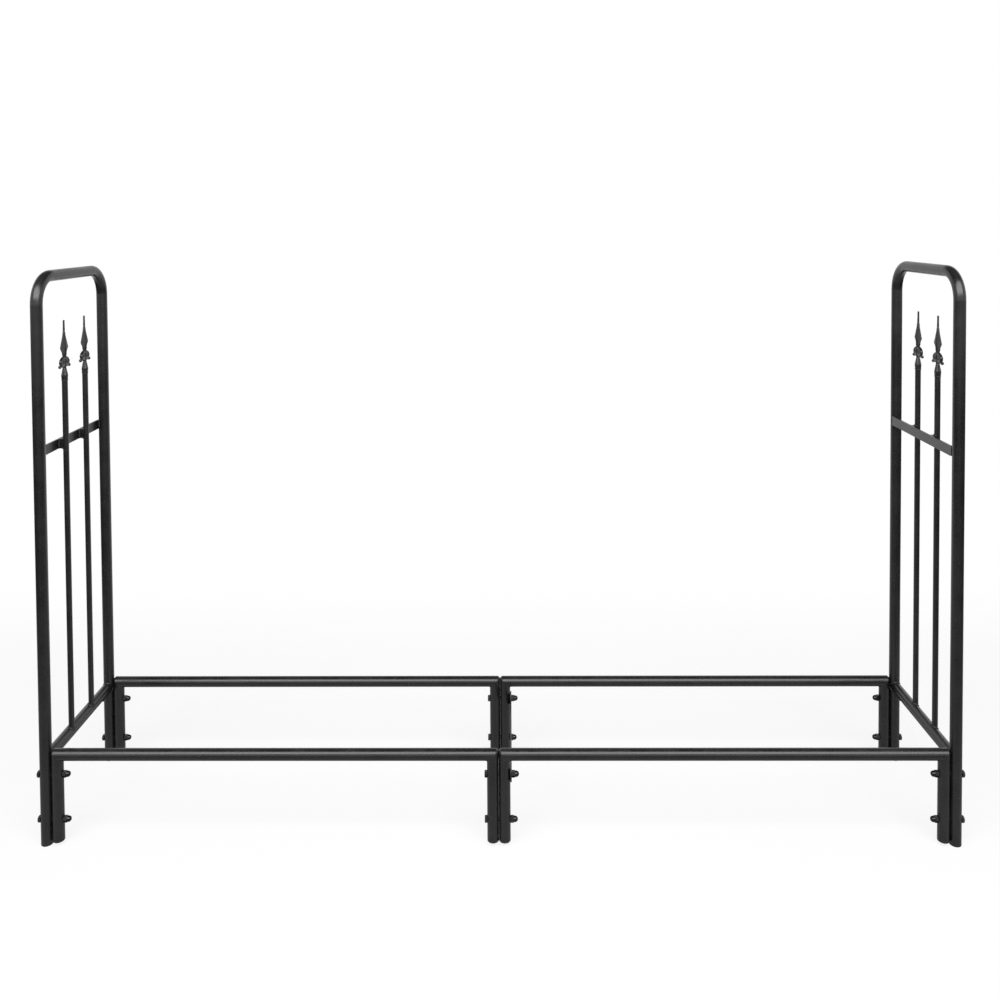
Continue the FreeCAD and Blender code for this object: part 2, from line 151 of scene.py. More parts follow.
def add_node(tree, kind, inputs=None, **settings):
    """New node with its settings; each input is set to a value or linked to another node's output."""
    node = tree.nodes.new(kind)
    for name, value in settings.items():
        setattr(node, name, value)
    for name, value in (inputs or {}).items():
        if isinstance(value, bpy.types.NodeSocket):
            tree.links.new(value, node.inputs[name])
        else:
            node.inputs[name].default_value = value
    return node


def calculate(tree, operation, *values, clamp=False):
    """Output of a Math node on one, two or three values."""
    inputs = dict(enumerate(values))
    return add_node(tree, "ShaderNodeMath", inputs, operation=operation, use_clamp=clamp).outputs[0]


def ramp(tree, value, low, high):
    """Value that rises smoothly from 0 at low to 1 at high."""
    inputs = {"Value": value, "From Min": low, "From Max": high}
    return add_node(tree, "ShaderNodeMapRange", inputs, interpolation_type="SMOOTHSTEP").outputs["Result"]


def mix_colours(tree, factor, first, second):
    """Colour between two colours."""
    inputs = {MIX_FACTOR: factor, MIX_FIRST: first, MIX_SECOND: second}
    return add_node(tree, "ShaderNodeMix", inputs, data_type="RGBA").outputs[MIX_RESULT]


def blend_values(tree, factor, first, second):
    """Value between two values."""
    return add_node(tree, "ShaderNodeMix", {"Factor": factor, "A": first, "B": second}).outputs["Result"]


def noise(tree, size, detail=2.0, roughness=0.5):
    """Cloudy value from 0 to 1 with features of about the given size, which may be a socket."""
    place = add_node(tree, "ShaderNodeTexCoord").outputs["Object"]
    scale = calculate(tree, "DIVIDE", 1.0, size)
    inputs = {"Vector": place, "Scale": scale, "Detail": detail, "Roughness": roughness}
    return add_node(tree, "ShaderNodeTexNoise", inputs).outputs["Fac"]


def new_group(name, inputs, outputs):
    """Empty shader node group with named value inputs and outputs; gives its tree and its two ends."""
    tree = bpy.data.node_groups.new(name, "ShaderNodeTree")
    for socket_name, default in inputs.items():
        socket = tree.interface.new_socket(socket_name, in_out="INPUT", socket_type="NodeSocketFloat")
        socket.default_value = default
    for socket_name in outputs:
        tree.interface.new_socket(socket_name, in_out="OUTPUT", socket_type="NodeSocketFloat")
    return tree, add_node(tree, "NodeGroupInput").outputs, add_node(tree, "NodeGroupOutput").inputs


FINE_DIMPLE_SIZE = 0.3      # of the fine dimples, as a share of the broad ones
FINE_DIMPLE_HEIGHT = 0.3


def make_orange_peel():
    """Pebbled skin of a baked powder coat."""
    tree, given, result = new_group("orange_peel", {"Dimple Size": 0.0016}, ["Height"])
    broad = noise(tree, given["Dimple Size"], detail=1.0, roughness=0.4)
    fine_size = calculate(tree, "MULTIPLY", given["Dimple Size"], FINE_DIMPLE_SIZE)
    fine = noise(tree, fine_size, detail=1.0)
    fine_share = calculate(tree, "MULTIPLY", fine, FINE_DIMPLE_HEIGHT)
    tree.links.new(calculate(tree, "ADD", broad, fine_share), result["Height"])
    return tree


DRIFT_LEVELS = (0.32, 0.68)     # of the clouds, between which the tone drifts


def make_slow_drift():
    """Uneven tone that changes slowly along a piece."""
    tree, given, result = new_group("slow_drift", {"Patch Size": 0.06}, ["Drift"])
    patches = noise(tree, given["Patch Size"], detail=4.0, roughness=0.6)
    tree.links.new(ramp(tree, patches, *DRIFT_LEVELS), result["Drift"])
    return tree


DUST_SLOPE = (0.55, 1.0)        # how far a face looks up, from where dust starts to lie to a level face
DUST_CLOUD = 18 * MILLIMETRE
DUST_LEVELS = (0.3, 0.75)       # of the clouds, between which the dust thickens


def make_settled_dust():
    """Dust that lies on faces that look up, thinner in patches."""
    tree, given, result = new_group("settled_dust", {"Amount": 0.5}, ["Mask"])
    normal = add_node(tree, "ShaderNodeNewGeometry").outputs["Normal"]
    upward = add_node(tree, "ShaderNodeSeparateXYZ", {"Vector": normal}).outputs["Z"]
    facing = ramp(tree, upward, *DUST_SLOPE)
    patches = ramp(tree, noise(tree, DUST_CLOUD, detail=6.0, roughness=0.7), *DUST_LEVELS)
    lying = calculate(tree, "MULTIPLY", facing, patches)
    tree.links.new(calculate(tree, "MULTIPLY", lying, given["Amount"], clamp=True), result["Mask"])
    return tree


EDGE_TURN = (0.02, 0.22)        # how far a rounded edge turns away from its face, from untouched to rubbed
RUB_CLOUD = 7 * MILLIMETRE
RUB_LEVELS = (0.35, 0.7)        # of the clouds, between which an edge is rubbed


def make_rubbed_edges():
    """Edges and corners where the finish is rubbed thin, broken up into short stretches."""
    tree, given, result = new_group("rubbed_edges", {"Width": 0.0006, "Amount": 0.6}, ["Mask"])
    rounded = add_node(tree, "ShaderNodeBevel", {"Radius": given["Width"]}, samples=6).outputs["Normal"]
    plain = add_node(tree, "ShaderNodeNewGeometry").outputs["Normal"]
    inputs = {0: rounded, 1: plain}
    agreement = add_node(tree, "ShaderNodeVectorMath", inputs, operation="DOT_PRODUCT").outputs["Value"]
    edge = ramp(tree, calculate(tree, "SUBTRACT", 1.0, agreement), *EDGE_TURN)
    stretches = ramp(tree, noise(tree, RUB_CLOUD, detail=5.0, roughness=0.7), *RUB_LEVELS)
    rubbed = calculate(tree, "MULTIPLY", edge, stretches)
    tree.links.new(calculate(tree, "MULTIPLY", rubbed, given["Amount"], clamp=True), result["Mask"])
    return tree


def make_pinholes():
    """Small pits scattered over a surface."""
    tree, given, result = new_group("pinholes", {"Spacing": 0.003, "Share": 0.12}, ["Mask"])
    place = add_node(tree, "ShaderNodeTexCoord").outputs["Object"]
    scale = calculate(tree, "DIVIDE", 1.0, given["Spacing"])
    cells = add_node(tree, "ShaderNodeTexVoronoi", {"Vector": place, "Scale": scale})
    near = calculate(tree, "LESS_THAN", cells.outputs["Distance"], given["Share"])
    tree.links.new(near, result["Mask"])
    return tree


OPENNESS = (0.35, 0.95)         # share of light that gets in, from a hollow to an open face


def make_hollows():
    """Inner corners and gaps that little light reaches."""
    tree, given, result = new_group("hollows", {"Reach": 0.006}, ["Mask"])
    inputs = {"Distance": given["Reach"]}
    light = add_node(tree, "ShaderNodeAmbientOcclusion", inputs, samples=8).outputs["AO"]
    tree.links.new(calculate(tree, "SUBTRACT", 1.0, ramp(tree, light, *OPENNESS)), result["Mask"])
    return tree


ORANGE_PEEL = make_orange_peel()
SLOW_DRIFT = make_slow_drift()
SETTLED_DUST = make_settled_dust()
RUBBED_EDGES = make_rubbed_edges()
PINHOLES = make_pinholes()
HOLLOWS = make_hollows()


def use_group(tree, group, inputs=None):
    """Outputs of a node group placed in a material with its own values."""
    node = tree.nodes.new("ShaderNodeGroup")
    node.node_tree = group
    for name, value in (inputs or {}).items():
        node.inputs[name].default_value = value
    return node.outputs


def new_material(name):
    """Empty node material; gives the material, its tree and its output node."""
    material = bpy.data.materials.new(name)
    material.use_nodes = True
    tree = material.node_tree
    tree.nodes.clear()
    return material, tree, add_node(tree, "ShaderNodeOutputMaterial")


def finish_with(tree, output, shader):
    """Link a shader to a material's surface."""
    tree.links.new(shader.outputs[0], output.inputs["Surface"])


# Powder coat of the tubes and bars
COAT_BLACK = (0.0065, 0.0065, 0.0067, 1)
COAT_FADED = (0.0105, 0.0105, 0.0108, 1)
COAT_RUBBED = (0.075, 0.074, 0.073, 1)
DUST_COLOUR = (0.11, 0.105, 0.098, 1)
COAT_DUST = 0.12                # amount of dust
COAT_DRIFT_DULLS = 0.07         # roughness that the drift adds
DUST_DULLS = 0.35               # roughness that dust adds
TUBE_ROUGHNESS = 0.24
TUBE_DIMPLE = 1.8 * MILLIMETRE
BAR_ROUGHNESS = 0.27
BAR_DIMPLE = 1.4 * MILLIMETRE


def powder_coat(name, roughness, dimple_size):
    """Semi-gloss black powder coat with orange peel, slow drift, settled dust and rubbed edges."""
    material, tree, output = new_material(name)
    drift = use_group(tree, SLOW_DRIFT, {"Patch Size": 0.07})["Drift"]
    dust = use_group(tree, SETTLED_DUST, {"Amount": COAT_DUST})["Mask"]
    rub = use_group(tree, RUBBED_EDGES, {"Width": 0.0007, "Amount": 0.55})["Mask"]
    peel = use_group(tree, ORANGE_PEEL, {"Dimple Size": dimple_size})["Height"]
    colour = mix_colours(tree, drift, COAT_BLACK, COAT_FADED)
    colour = mix_colours(tree, dust, colour, DUST_COLOUR)
    colour = mix_colours(tree, rub, colour, COAT_RUBBED)
    uneven = calculate(tree, "MULTIPLY_ADD", drift, COAT_DRIFT_DULLS, roughness)
    dusty = calculate(tree, "MULTIPLY_ADD", dust, DUST_DULLS, uneven)
    bump = add_node(tree, "ShaderNodeBump", {"Strength": 0.22, "Distance": 0.0002, "Height": peel})
    shader = add_node(tree, "ShaderNodeBsdfPrincipled", {
        "Base Color": colour, "Roughness": dusty, "Specular IOR Level": 0.55,
        "Normal": bump.outputs["Normal"],
    })
    finish_with(tree, output, shader)
    return material


# Black coat of the cast finials
CASTING_BLACK = (0.011, 0.011, 0.0112, 1)
CASTING_FADED = (0.021, 0.021, 0.0212, 1)
CASTING_PIT = (0.006, 0.006, 0.006, 1)
CASTING_RUBBED = (0.11, 0.11, 0.108, 1)
# painted shade: near-black colour laid into the hollows of a casting that little light reaches
CASTING_PAINTED_SHADE = (0.003, 0.003, 0.003, 1)
CASTING_ROUGHNESS = 0.16
CASTING_DRIFT_DULLS = 0.1       # roughness that the drift adds
HOLLOW_DULLS = 0.4              # roughness that a hollow adds
PIT_DEPTH = -0.5                # against the height of the grain


def coated_casting(name):
    """Black coat on a sand casting: sandy and pitted, rubbed on its edges, rougher in its hollows, with
    painted shade darkening its hollows.
    """
    material, tree, output = new_material(name)
    drift = use_group(tree, SLOW_DRIFT, {"Patch Size": 0.012})["Drift"]
    rub = use_group(tree, RUBBED_EDGES, {"Width": 0.0012, "Amount": 0.6})["Mask"]
    pits = use_group(tree, PINHOLES, {"Spacing": 0.0022, "Share": 0.2})["Mask"]
    grain = use_group(tree, ORANGE_PEEL, {"Dimple Size": 0.0011})["Height"]
    hollow = use_group(tree, HOLLOWS, {"Reach": 0.006})["Mask"]
    colour = mix_colours(tree, drift, CASTING_BLACK, CASTING_FADED)
    colour = mix_colours(tree, pits, colour, CASTING_PIT)
    colour = mix_colours(tree, rub, colour, CASTING_RUBBED)
    # painted shade: the colour turns near-black where the hollows mask finds little light getting in
    colour = mix_colours(tree, hollow, colour, CASTING_PAINTED_SHADE)
    uneven = calculate(tree, "MULTIPLY_ADD", drift, CASTING_DRIFT_DULLS, CASTING_ROUGHNESS)
    dull = calculate(tree, "MULTIPLY_ADD", hollow, HOLLOW_DULLS, uneven)
    height = calculate(tree, "MULTIPLY_ADD", pits, PIT_DEPTH, grain)
    bump = add_node(tree, "ShaderNodeBump", {"Strength": 0.25, "Distance": 0.0002, "Height": height})
    shader = add_node(tree, "ShaderNodeBsdfPrincipled", {
        "Base Color": colour, "Roughness": dull, "Specular IOR Level": 0.55,
        "Normal": bump.outputs["Normal"],
    })
    finish_with(tree, output, shader)
    return material


# Plating of the bolts and cap nuts
ZINC_BLACK = (0.03, 0.03, 0.031, 1)
ZINC_FADED = (0.05, 0.0495, 0.049, 1)
ZINC_RUBBED = (0.2, 0.196, 0.19, 1)
ZINC_ROUGHNESS = 0.06
ZINC_DRIFT_DULLS = 0.05         # roughness that the drift adds


def black_zinc(name):
    """Polished black plating, worn to brighter metal on the corners."""
    material, tree, output = new_material(name)
    drift = use_group(tree, SLOW_DRIFT, {"Patch Size": 0.005})["Drift"]
    rub = use_group(tree, RUBBED_EDGES, {"Width": 0.0005, "Amount": 0.6})["Mask"]
    grain = use_group(tree, ORANGE_PEEL, {"Dimple Size": 0.0007})["Height"]
    colour = mix_colours(tree, drift, ZINC_BLACK, ZINC_FADED)
    colour = mix_colours(tree, rub, colour, ZINC_RUBBED)
    polish = calculate(tree, "MULTIPLY_ADD", drift, ZINC_DRIFT_DULLS, ZINC_ROUGHNESS)
    bump = add_node(tree, "ShaderNodeBump", {"Strength": 0.12, "Distance": 0.0001, "Height": grain})
    shader = add_node(tree, "ShaderNodeBsdfPrincipled", {
        "Base Color": colour, "Roughness": polish, "Metallic": 1.0,
        "Normal": bump.outputs["Normal"],
    })
    finish_with(tree, output, shader)
    return material


# Plastic of the foot plugs
PLASTIC_BLACK = (0.007, 0.007, 0.007, 1)
PLASTIC_FADED = (0.016, 0.016, 0.016, 1)
PLASTIC_SCUFFED = (0.06, 0.06, 0.058, 1)
PLASTIC_ROUGHNESS = 0.5
PLASTIC_DRIFT_DULLS = 0.15      # roughness that the drift adds


def moulded_plastic(name):
    """Black polyethylene, scuffed grey along its edges."""
    material, tree, output = new_material(name)
    drift = use_group(tree, SLOW_DRIFT, {"Patch Size": 0.006})["Drift"]
    rub = use_group(tree, RUBBED_EDGES, {"Width": 0.001, "Amount": 0.8})["Mask"]
    grain = use_group(tree, ORANGE_PEEL, {"Dimple Size": 0.0009})["Height"]
    colour = mix_colours(tree, drift, PLASTIC_BLACK, PLASTIC_FADED)
    colour = mix_colours(tree, rub, colour, PLASTIC_SCUFFED)
    matt = calculate(tree, "MULTIPLY_ADD", drift, PLASTIC_DRIFT_DULLS, PLASTIC_ROUGHNESS)
    bump = add_node(tree, "ShaderNodeBump", {"Strength": 0.3, "Distance": 0.0002, "Height": grain})
    shader = add_node(tree, "ShaderNodeBsdfPrincipled", {
        "Base Color": colour, "Roughness": matt, "Specular IOR Level": 0.4,
        "Normal": bump.outputs["Normal"],
    })
    finish_with(tree, output, shader)
    return material


FINISHES = {
    "tube_coat": powder_coat("tube_powder_coat", TUBE_ROUGHNESS, TUBE_DIMPLE),
    "bar_coat": powder_coat("bar_powder_coat", BAR_ROUGHNESS, BAR_DIMPLE),
    "finial_casting": coated_casting("coated_casting"),
    "fastener_black": black_zinc("black_zinc"),
    "plug_plastic": moulded_plastic("moulded_plug_plastic"),
}


def dress_cad_nodes():
    """Give every CAD node the finish of its record slot."""
    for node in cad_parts.values():
        slot = node.data.materials[0].name
        node.data.materials[0] = FINISHES[slot]


def new_piece(name, mesh, slot):
    """Piece of the rack that has a record slot's finish."""
    for face in mesh.polygons:
        face.use_smooth = True
    mesh.materials.append(FINISHES[slot])
    piece = bpy.data.objects.new(name, mesh)
    bpy.context.scene.collection.objects.link(piece)
    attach(piece, "root")
    return piece


def mesh_from(name, shape):
    """Mesh with outward faces from a shape under construction."""
    bmesh.ops.recalc_face_normals(shape, faces=shape.faces)
    mesh = bpy.data.meshes.new(name)
    shape.to_mesh(mesh)
    shape.free()
    return mesh


def join_rings(shape, rings, closed):
    """Skin over rings of points, end to end or with both ends filled."""
    following = rings[1:] + (rings[:1] if closed else [])
    for near, far in zip(rings, following):
        for corner in range(len(near)):
            after = (corner + 1) % len(near)
            shape.faces.new((near[corner], near[after], far[after], far[corner]))
    if not closed:
        shape.faces.new(rings[0])
        shape.faces.new(rings[-1])


def even_shares(line):
    """Shares of a line that are evenly spaced along its length, with the same number for each ripple."""
    shares = np.linspace(0, 1, LINE_STEPS + 1)
    points = np.array([line(share)[0] for share in shares])
    run = np.concatenate(([0], np.cumsum(np.linalg.norm(np.diff(points, axis=0), axis=1))))
    count = max(2, round(run[-1] / RIPPLE_PITCH)) * STEPS_PER_RIPPLE
    return np.interp(np.linspace(0, run[-1], count + 1), run, shares)


def add_bead(shape, line, closed, rippled=True):
    """Add a bead along a line, which gives a point, its outward direction and the bead's radius."""
    shares = even_shares(line)
    step = shares[1] - shares[0]
    if closed:
        shares = shares[:-1]
    rings = []
    for index, share in enumerate(shares):
        point, outward, radius = line(share)
        before = line((share - step) % 1 if closed else max(share - step, 0))[0]
        after = line((share + step) % 1 if closed else min(share + step, 1))[0]
        ahead = (after - before).normalized()
        sideways = ahead.cross(outward).normalized()
        lag = 0.0
        if rippled:
            crest = abs(math.sin(math.pi * index / STEPS_PER_RIPPLE))
            radius *= 1 - RIPPLE_DEPTH * (1 - crest)
            radius *= 1 + BEAD_UNEVEN * noise_at(point / UNEVEN_PITCH)
            lag = RIPPLE_LAG
        if not closed:
            from_end = min(index, len(shares) - 1 - index) / STEPS_PER_RIPPLE
            radius *= min(1, BEAD_END + (1 - BEAD_END) * from_end)
        ring = []
        for corner in range(BEAD_SIDES):
            angle = math.tau * corner / BEAD_SIDES
            spread = outward * math.cos(angle) + sideways * math.sin(angle)
            trail = ahead * lag * (math.cos(angle) - 1)
            ring.append(shape.verts.new(point + (spread + trail) * radius))
        rings.append(ring)
    join_rings(shape, rings, closed)


def make_weld(name, slot, lines, closed=False):
    """Weld of one or more beads, as a piece of the rack."""
    shape = bmesh.new()
    for line in lines:
        add_bead(shape, line, closed)
    new_piece(name, mesh_from(name, shape), slot)


def straight_line(start, end, outward, radius):
    """Straight weld between two points."""
    outward = outward.normalized()

    def line(share):
        return start.lerp(end, share), outward, radius
    return line


def middle_of(name):
    """Middle of a CAD node's box."""
    low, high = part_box(name)
    return (low + high) / 2


def half_of(name):
    """Half of the size of a CAD node's box."""
    low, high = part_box(name)
    return (high - low) / 2


def cope_line(tube, upright, way):
    """Weld between a lower cross tube and an upright, over the tube (way 1) or under it (way -1)."""
    centre = middle_of(tube)
    radius = half_of(tube).x
    upright_y = middle_of(upright).y
    inward = -math.copysign(1, upright_y)

    def line(share):
        angle = math.radians(COPE_START + share * (180 - 2 * COPE_START))
        across = math.cos(angle)
        rise = math.sin(angle)
        place = Vector((centre.x + radius * across, upright_y + inward * radius * rise,
                        centre.z + way * radius * rise))
        outward = Vector((2 * across, inward * rise, way * rise)).normalized()
        return place, outward, BEAD_RADIUS * (COPE_THIN + (1 - COPE_THIN) * rise)
    return line


def bar_end_lines(bar, upright, tube_radius):
    """Welds down both faces of an upper cross bar's end, where it lies against an upright."""
    low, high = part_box(bar)
    axis = middle_of(upright)
    inward = -math.copysign(1, axis.y)
    depth = high.x - axis.x
    flank = math.sqrt(tube_radius ** 2 - depth ** 2)
    inner = Vector((high.x, axis.y + inward * flank, 0))
    inner_outward = Vector((1 + depth / tube_radius, inward * flank / tube_radius, 0))
    outer = Vector((low.x, high.y if inward < 0 else low.y, 0))
    outer_outward = Vector((-1, -inward, 0))
    margin = BEAD_RADIUS
    bottom = Vector((0, 0, low.z + margin))
    top = Vector((0, 0, high.z - margin))
    return [
        straight_line(inner + bottom, inner + top, inner_outward, BEAD_RADIUS),
        straight_line(outer + bottom, outer + top, outer_outward, SEAM_RADIUS),
    ]


def lug_seat_line(lug, spindle, way):
    """Weld round a spindle's flank, over its spacer lug (way 1) or under it (way -1)."""
    low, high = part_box(lug)
    level = high.z if way > 0 else low.z
    axis = middle_of(spindle)
    radius = half_of(spindle).x
    spread = math.asin(half_of(lug).y / radius)

    def line(share):
        angle = (2 * share - 1) * spread
        aside = Vector((-math.cos(angle), math.sin(angle), 0))
        place = Vector((axis.x, axis.y, level)) + aside * radius
        return place, (aside + Vector((0, 0, way))).normalized(), BEAD_RADIUS
    return line


def lug_lines(lug, spindle):
    """Welds beside a spacer lug on the cross bar, and over and under it on the spindle."""
    low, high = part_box(lug)
    lines = [lug_seat_line(lug, spindle, way) for way in (1, -1)]
    for y, outward in ((low.y, Vector((1, -1, 0))), (high.y, Vector((1, 1, 0)))):
        start = Vector((low.x, y, low.z))
        end = Vector((low.x, y, high.z))
        lines.append(straight_line(start, end, outward, BEAD_RADIUS))
    return lines


def spindle_foot_line(spindle, tube):
    """Weld round a spindle's foot on the lower cross tube."""
    axis = middle_of(spindle)
    radius = half_of(spindle).x
    tube_centre = middle_of(tube)
    tube_radius = half_of(tube).x

    def line(share):
        angle = math.tau * share
        spread = Vector((math.cos(angle), math.sin(angle), 0))
        aside = axis.x + radius * spread.x - tube_centre.x
        lift = math.sqrt(tube_radius ** 2 - aside ** 2)
        place = Vector((axis.x, axis.y, tube_centre.z + lift)) + spread * radius
        outward = spread + Vector((aside, 0, lift)) / tube_radius
        return place, outward.normalized(), BEAD_RADIUS
    return line


def finial_foot_line(spindle):
    """Ground seam between a spindle's top and its finial."""
    axis = middle_of(spindle)
    radius = half_of(spindle).x
    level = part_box(spindle)[1].z

    def line(share):
        angle = math.tau * share
        spread = Vector((math.cos(angle), math.sin(angle), 0))
        return Vector((axis.x, axis.y, level)) + spread * radius, spread, SEAM_RADIUS
    return line


def mitre_line(leg, rail):
    """Ground seam in the inner corner between a leg and its rail, fullest in the middle."""
    axis = middle_of(leg)
    radius = half_of(leg).y
    level = middle_of(rail).z
    to_rail = math.copysign(1, middle_of(rail).x - axis.x)

    def line(share):
        angle = math.radians((2 * share - 1) * CROTCH_SPREAD)
        across = math.cos(angle)
        along = math.sin(angle)
        surface = Vector((axis.x + to_rail * radius * across, axis.y + radius * along,
                          level - radius * across))
        outward = Vector((to_rail * across, 2 * along, -across)).normalized()
        place = surface - outward * SEAM_RADIUS * SEAM_SINK
        return place, outward, SEAM_RADIUS + CROTCH_RADIUS * across ** CROTCH_POWER
    return line


def make_hoop_welds():
    """Welds of both end hoops."""
    for side in LENGTH_NAMES:
        tube = side + "_lower_cross_tube"
        bar = side + "_upper_cross_bar"
        for depth in DEPTH_NAMES:
            prefix = side + "_" + depth
            upright = prefix + "_upright_plug"      # it lies on the upright's axis
            spindle = prefix + "_spindle"
            copes = [cope_line(tube, upright, way) for way in (1, -1)]
            bar_ends = bar_end_lines(bar, upright, half_of(tube).x)
            lug_sides = lug_lines(prefix + "_spacer_lug", spindle)
            foot = spindle_foot_line(spindle, tube)
            make_weld(prefix + "_cross_tube_weld", "tube_coat", copes)
            make_weld(prefix + "_bar_end_weld", "bar_coat", bar_ends)
            make_weld(prefix + "_lug_weld", "bar_coat", lug_sides)
            make_weld(prefix + "_spindle_foot_weld", "bar_coat", [foot], closed=True)
            make_weld(prefix + "_finial_foot_weld", "bar_coat", [finial_foot_line(spindle)], closed=True)


def make_mitre_welds():
    """Welds at the corners of the four rail frames."""
    for depth in DEPTH_NAMES:
        for side in LENGTH_NAMES:
            prefix = depth + "_" + side
            for leg in ("outer", "inner"):
                seam = mitre_line(prefix + "_" + leg + "_leg", prefix + "_rail")
                make_weld(prefix + "_" + leg + "_mitre_weld", "tube_coat", [seam])


def scroll_line(centre, side, face):
    """Band that winds inwards on one face of a finial's scroll."""
    def line(share):
        angle = math.radians(90) + share * SCROLL_TURNS * math.tau
        reach = SCROLL_REACH[0] + share * (SCROLL_REACH[1] - SCROLL_REACH[0])
        winding = Vector((face * SCROLL_FACE, -side * reach * math.cos(angle), reach * math.sin(angle)))
        radius = SCROLL_BAND[0] + share * (SCROLL_BAND[1] - SCROLL_BAND[0])
        return centre + winding, Vector((face, 0, 0)), radius
    return line


def blade_line(foot, side, reaches, radius):
    """Rib or blunt edge of a blade, on the side that a direction points to."""
    def line(share):
        height = BLADE_HEIGHTS[0] + share * (BLADE_HEIGHTS[-1] - BLADE_HEIGHTS[0])
        reach = np.interp(height, BLADE_HEIGHTS, reaches)
        return foot + side * reach + Vector((0, 0, height)), side, radius
    return line


def draw_in_scrolls(shape, foot):
    """Draw the scrolls' upper halves in to the stem, more towards their tops."""
    for corner in shape.verts:
        rise = (corner.co.z - foot.z - SCROLL_HEIGHT) / (SCROLL_TOP - SCROLL_HEIGHT)
        if 0 < rise < 1:
            corner.co.y -= (corner.co.y - foot.y) * SCROLL_DRAW * rise ** 2


def casting_mesh(node):
    """One finial as it leaves the mould: the CAD form, wound scrolls, a ribbed blade and soft edges."""
    low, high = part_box(node)
    foot = Vector(((low.x + high.x) / 2, (low.y + high.y) / 2, low.z))
    shape = bmesh.new()
    shape.from_mesh(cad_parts[node].data)
    for side in (-1, 1):
        centre = foot + Vector((0, side * SCROLL_OUT, SCROLL_HEIGHT))
        for face in (-1, 1):
            add_bead(shape, scroll_line(centre, side, face), closed=False, rippled=False)
            eye = Matrix.Translation(centre + Vector((face * SCROLL_FACE, 0, 0)))
            bmesh.ops.create_icosphere(shape, subdivisions=2, radius=SCROLL_EYE, matrix=eye)
    draw_in_scrolls(shape, foot)
    for way in (-1, 1):
        rib = blade_line(foot, Vector((way, 0, 0)), BLADE_RIB, RIB_RADIUS)
        edge = blade_line(foot, Vector((0, way, 0)), BLADE_EDGE, EDGE_RADIUS)
        add_bead(shape, rib, closed=False, rippled=False)
        add_bead(shape, edge, closed=False, rippled=False)
    rough = bpy.data.objects.new("casting_pattern", mesh_from("casting_pattern", shape))
    bpy.context.scene.collection.objects.link(rough)
    remesh = rough.modifiers.new("voxels", "REMESH")
    remesh.mode = "VOXEL"
    remesh.voxel_size = CASTING_VOXEL
    soften = rough.modifiers.new("soften", "SMOOTH")
    soften.iterations = CASTING_SOFTENING
    evaluated = rough.evaluated_get(bpy.context.evaluated_depsgraph_get())
    mesh = bpy.data.meshes.new_from_object(evaluated)
    bpy.data.objects.remove(rough)
    mesh.materials.clear()
    mesh.transform(Matrix.Translation(-foot))
    return mesh


def roughen(mesh):
    """Sandy skin on a casting, and the thin ridge where the two halves of the mould met."""
    moves = []
    for corner in mesh.vertices:
        grain = noise_at(corner.co / SKIN_GRAIN) * SKIN_DEPTH
        on_parting = abs(corner.co.x) < PARTING_WIDTH and abs(corner.normal.x) < PARTING_FACING
        moves.append(corner.normal * (grain + (PARTING_HEIGHT if on_parting else 0)))
    for corner, move in zip(mesh.vertices, moves):
        corner.co += move


def make_finials():
    """A casting in the place of each CAD finial."""
    pattern = casting_mesh("left_front_finial")
    for side in LENGTH_NAMES:
        for depth in DEPTH_NAMES:
            node = side + "_" + depth + "_finial"
            low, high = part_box(node)
            mesh = pattern.copy()
            roughen(mesh)
            mesh.transform(Matrix.Translation(((low.x + high.x) / 2, (low.y + high.y) / 2, low.z)))
            piece = new_piece(side + "_" + depth + "_finial_casting", mesh, "finial_casting")
            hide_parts(node)


def studio_material():
    """White ground with the rack's soft shadow; gloss shows it darker, as a studio with dark sides."""
    material, tree, output = new_material("studio_ground")
    place = add_node(tree, "ShaderNodeTexCoord").outputs["Object"]
    sides = add_node(tree, "ShaderNodeSeparateXYZ", {"Vector": place}).outputs
    beside = calculate(tree, "SUBTRACT", calculate(tree, "ABSOLUTE", sides["X"]), cad_box[1].x)
    across = calculate(tree, "SUBTRACT", calculate(tree, "ABSOLUTE", sides["Y"]), cad_box[1].y)
    outside = calculate(tree, "MAXIMUM", beside, across)
    shade = calculate(tree, "SUBTRACT", 1.0, ramp(tree, outside, *SHADE_REACH))
    even = calculate(tree, "MULTIPLY_ADD", shade, -SHADE_SHARE, 1.0)
    rear_share = ramp(tree, sides["Y"], cad_box[0].y, cad_box[1].y)
    far = blend_values(tree, rear_share, FRONT_MIRRORED, REAR_MIRRORED)
    floor = blend_values(tree, ramp(tree, outside, *NEAR_REACH), NEAR_MIRRORED, far)
    rearward = calculate(tree, "MAXIMUM", sides["Y"], 0.0)
    beyond = calculate(tree, "MULTIPLY_ADD", rearward, -SIDE_SPREAD, beside)
    ground = blend_values(tree, ramp(tree, beyond, *SIDE_REACH), floor, SIDE_MIRRORED)
    mirrored = blend_values(tree, ramp(tree, sides["Z"], *WALL_RISE), ground, WALL_MIRRORED)
    rays = add_node(tree, "ShaderNodeLightPath").outputs
    level = blend_values(tree, rays["Is Glossy Ray"], 1.0, mirrored)
    seen = calculate(tree, "ADD", rays["Is Camera Ray"], rays["Is Glossy Ray"])
    seen = calculate(tree, "ADD", seen, rays["Is Transmission Ray"], clamp=True)
    share = calculate(tree, "MULTIPLY", even, seen)
    clouds = noise(tree, FLOOR_CLOUD, detail=5.0)
    tone = blend_values(tree, clouds, FLOOR_TONE - FLOOR_UNEVEN, FLOOR_TONE + FLOOR_UNEVEN)
    lit = add_node(tree, "ShaderNodeBsdfDiffuse", {"Color": calculate(tree, "MULTIPLY", tone, level)})
    white = add_node(tree, "ShaderNodeEmission", {"Color": level, "Strength": 1.0})
    blend = add_node(tree, "ShaderNodeMixShader", {0: share, 1: lit.outputs[0], 2: white.outputs[0]})
    finish_with(tree, output, blend)
    return material


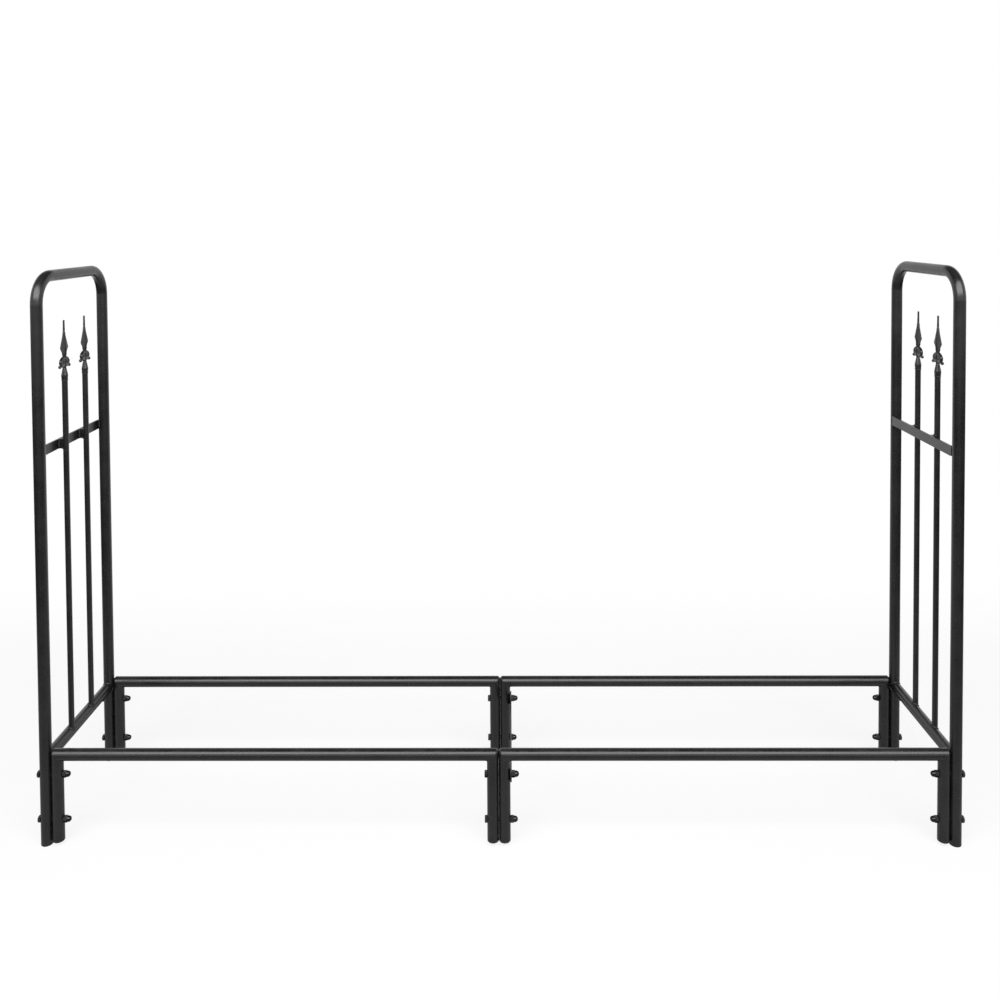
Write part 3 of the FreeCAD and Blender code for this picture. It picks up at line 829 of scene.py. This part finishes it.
def make_studio():
    """Round floor that sweeps up into a wall."""
    profile = [(0.0, 0.0), (STUDIO_RADIUS - STUDIO_SWEEP, 0.0)]
    for step in range(1, SWEEP_STEPS + 1):
        angle = math.radians(90 * step / SWEEP_STEPS)
        reach = STUDIO_RADIUS - STUDIO_SWEEP + STUDIO_SWEEP * math.sin(angle)
        profile.append((reach, STUDIO_SWEEP - STUDIO_SWEEP * math.cos(angle)))
    profile.append((STUDIO_RADIUS, STUDIO_WALL))
    shape = bmesh.new()
    line = [shape.verts.new((reach, 0.0, height)) for reach, height in profile]
    edges = [shape.edges.new(pair) for pair in zip(line, line[1:])]
    bmesh.ops.spin(shape, geom=line + edges, cent=(0, 0, 0), axis=(0, 0, 1),
                   angle=math.tau, steps=STUDIO_STEPS, use_merge=True)
    bmesh.ops.remove_doubles(shape, verts=shape.verts, dist=MILLIMETRE)
    bmesh.ops.recalc_face_normals(shape, faces=shape.faces)
    bmesh.ops.reverse_faces(shape, faces=shape.faces)
    mesh = bpy.data.meshes.new("studio_ground")
    shape.to_mesh(mesh)
    shape.free()
    for face in mesh.polygons:
        face.use_smooth = True
    mesh.materials.append(studio_material())
    ground = bpy.data.objects.new("studio_ground", mesh)
    bpy.context.scene.collection.objects.link(ground)


def make_lights():
    """One large softbox over the space in front of the rack, and a dim room."""
    lamp = bpy.data.lights.new("softbox", "AREA")
    lamp.shape = "RECTANGLE"
    lamp.size = SOFTBOX_WIDTH
    lamp.size_y = SOFTBOX_HEIGHT
    lamp.energy = SOFTBOX_POWER
    softbox = bpy.data.objects.new("softbox", lamp)
    softbox.location = SOFTBOX_PLACE
    softbox.rotation_euler = (SOFTBOX_AIM - SOFTBOX_PLACE).to_track_quat("-Z", "Y").to_euler()
    softbox.visible_camera = False
    bpy.context.scene.collection.objects.link(softbox)
    world = bpy.data.worlds.new("room")
    world.use_nodes = True
    world.node_tree.nodes["Background"].inputs["Color"].default_value = (ROOM_TONE, ROOM_TONE, ROOM_TONE, 1)
    bpy.context.scene.world = world


def make_camera():
    """Camera at the photograph's place, with its tilt and framing."""
    ahead = Vector((math.sin(CAMERA_YAW) * math.cos(CAMERA_PITCH),
                    math.cos(CAMERA_YAW) * math.cos(CAMERA_PITCH),
                    -math.sin(CAMERA_PITCH)))
    level_right = Vector((math.cos(CAMERA_YAW), -math.sin(CAMERA_YAW), 0))
    level_up = level_right.cross(ahead)
    right = level_right * math.cos(CAMERA_ROLL) + level_up * math.sin(CAMERA_ROLL)
    up = level_up * math.cos(CAMERA_ROLL) - level_right * math.sin(CAMERA_ROLL)
    turn = Matrix((right, up, -ahead)).transposed()
    lens = bpy.data.cameras.new("camera")
    lens.sensor_fit = "HORIZONTAL"
    lens.sensor_width = SENSOR_WIDTH
    lens.lens = FOCAL_SHARE * SENSOR_WIDTH
    lens.shift_y = FRAME_SHIFT
    camera = bpy.data.objects.new("camera", lens)
    camera.matrix_world = Matrix.Translation(CAMERA_PLACE) @ turn.to_4x4()
    bpy.context.scene.collection.objects.link(camera)
    bpy.context.scene.camera = camera


dress_cad_nodes()
make_hoop_welds()
make_mitre_welds()
make_finials()
make_studio()
make_lights()
make_camera()
bpy.context.scene.view_settings.view_transform = "Standard"
